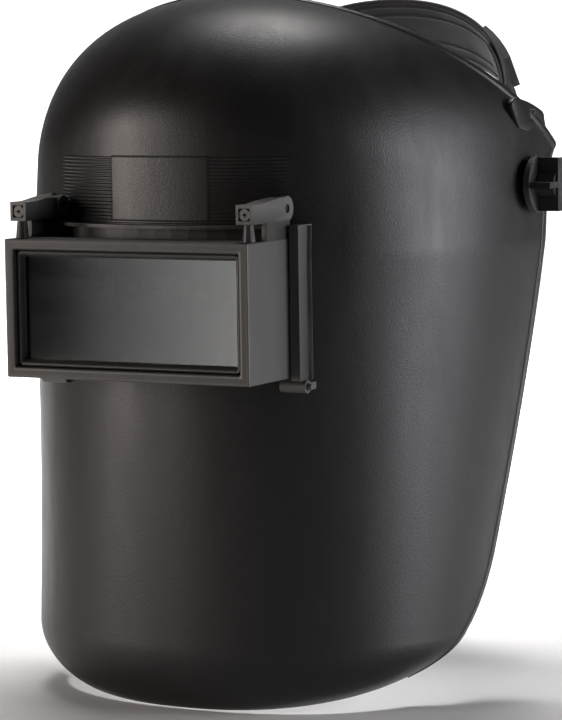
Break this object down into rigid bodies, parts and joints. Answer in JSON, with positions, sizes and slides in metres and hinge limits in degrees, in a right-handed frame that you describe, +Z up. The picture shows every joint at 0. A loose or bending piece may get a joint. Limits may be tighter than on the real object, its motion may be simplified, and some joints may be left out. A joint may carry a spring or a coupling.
{
  "type": "welding helmet",
  "caption": "Black head-worn welding helmet with a flip-up filter box on the front, a tilting shell and a ratchet headband.",
  "frame": {"origin": "midway between the two head pivots, on the shell's tilt axis", "axes": "+X to the wearer's left, -Y out of the front, +Z up with the helmet worn level"},
  "size_m": [0.2544, 0.2785, 0.3028],
  "materials": {
    "shell": "fine stipple, semi-matte black",
    "frame_plastic": "smooth moulded dark grey-black",
    "clear_glass": "polished clear plate",
    "filter_glass": "polished very dark green-black plate",
    "steel": "bright zinc-plated",
    "strap_plastic": "flexible black plastic, satin",
    "knob_plastic": "black moulded plastic, satin gloss",
    "washer_rubber": "matte rubber",
    "soft_pad": "black foam with a woven face"
  },
  "bodies": {
    "headgear": {"headband_front": "strap_plastic", "sweatband": "soft_pad", "headband_rear_left": "strap_plastic", "headband_rear_right": "strap_plastic", "crown_strap_left": "strap_plastic", "crown_strap_right": "strap_plastic", "crown_clip": "knob_plastic", "strap_rivet_left": "steel", "strap_rivet_right": "steel", "pivot_bolt_left": "steel", "pivot_bolt_right": "steel", "tilt_stop_left": "strap_plastic", "tilt_stop_right": "strap_plastic", "ratchet_housing": "strap_plastic", "ratchet_cover": "strap_plastic", "nape_pad": "soft_pad"},
    "shell": {"shell": "shell", "lens_holder_base": "frame_plastic", "base_clamp_frame": "frame_plastic", "base_screw_1": "steel", "base_screw_2": "steel", "base_screw_3": "steel", "base_screw_4": "steel", "safety_lens": "clear_glass", "safety_lens_frame": "frame_plastic", "hinge_pin_left": "steel", "hinge_pin_right": "steel", "latch_pin_left": "frame_plastic", "latch_pin_right": "frame_plastic", "tilt_lever_left": "frame_plastic", "tilt_lever_right": "frame_plastic", "friction_washer_left": "washer_rubber", "friction_washer_right": "washer_rubber"},
    "flip_front": {"flip_frame": "frame_plastic", "front_bezel": "frame_plastic", "cover_lens": "clear_glass", "filter_lens": "filter_glass", "friction_plunger_left": "steel", "friction_plunger_right": "steel", "plunger_spring_left": "steel", "plunger_spring_right": "steel", "plunger_plug_left": "frame_plastic", "plunger_plug_right": "frame_plastic"},
    "tension_knob_left": {"tension_knob_left": "knob_plastic"},
    "tension_knob_right": {"tension_knob_right": "knob_plastic"},
    "ratchet_knob": {"ratchet_knob": "knob_plastic", "ratchet_pinion": "frame_plastic"},
    "rack_left": {"rack_left": "strap_plastic"},
    "rack_right": {"rack_right": "strap_plastic"}
  },
  "joints": [
    {"name": "shell_tilt", "type": "hinge", "parent": "headgear", "child": "shell", "pos_m": [0, 0, 0], "axis": [-1, 0, 0], "range_deg": [0, 60]},
    {"name": "lens_flip", "type": "hinge", "parent": "shell", "child": "flip_front", "pos_m": [0, -0.1215, -0.0044], "axis": [-1, 0, 0], "range_deg": [0, 90]},
    {"name": "tension_left", "type": "hinge", "parent": "headgear", "child": "tension_knob_left", "pos_m": [0.12, 0, 0], "axis": [1, 0, 0], "range_deg": [0, 360]},
    {"name": "tension_right", "type": "hinge", "parent": "headgear", "child": "tension_knob_right", "pos_m": [-0.12, 0, 0], "axis": [-1, 0, 0], "range_deg": [0, 360]},
    {"name": "ratchet_turn", "type": "hinge", "parent": "headgear", "child": "ratchet_knob", "pos_m": [0, 0.1, -0.028], "axis": [0, -1, 0], "range_deg": [0, 120]},
    {"name": "rack_left_slide", "type": "slide", "parent": "headgear", "child": "rack_left", "axis": [-1, 0, 0], "range_m": [0, 0.013]},
    {"name": "rack_right_slide", "type": "slide", "parent": "headgear", "child": "rack_right", "axis": [1, 0, 0], "range_m": [0, 0.013]}
  ],
  "couplings": [
    {"joint": "rack_left_slide", "follows": "ratchet_turn", "m_per_rad": 0.006},
    {"joint": "rack_right_slide", "follows": "ratchet_turn", "m_per_rad": 0.006}
  ]
}
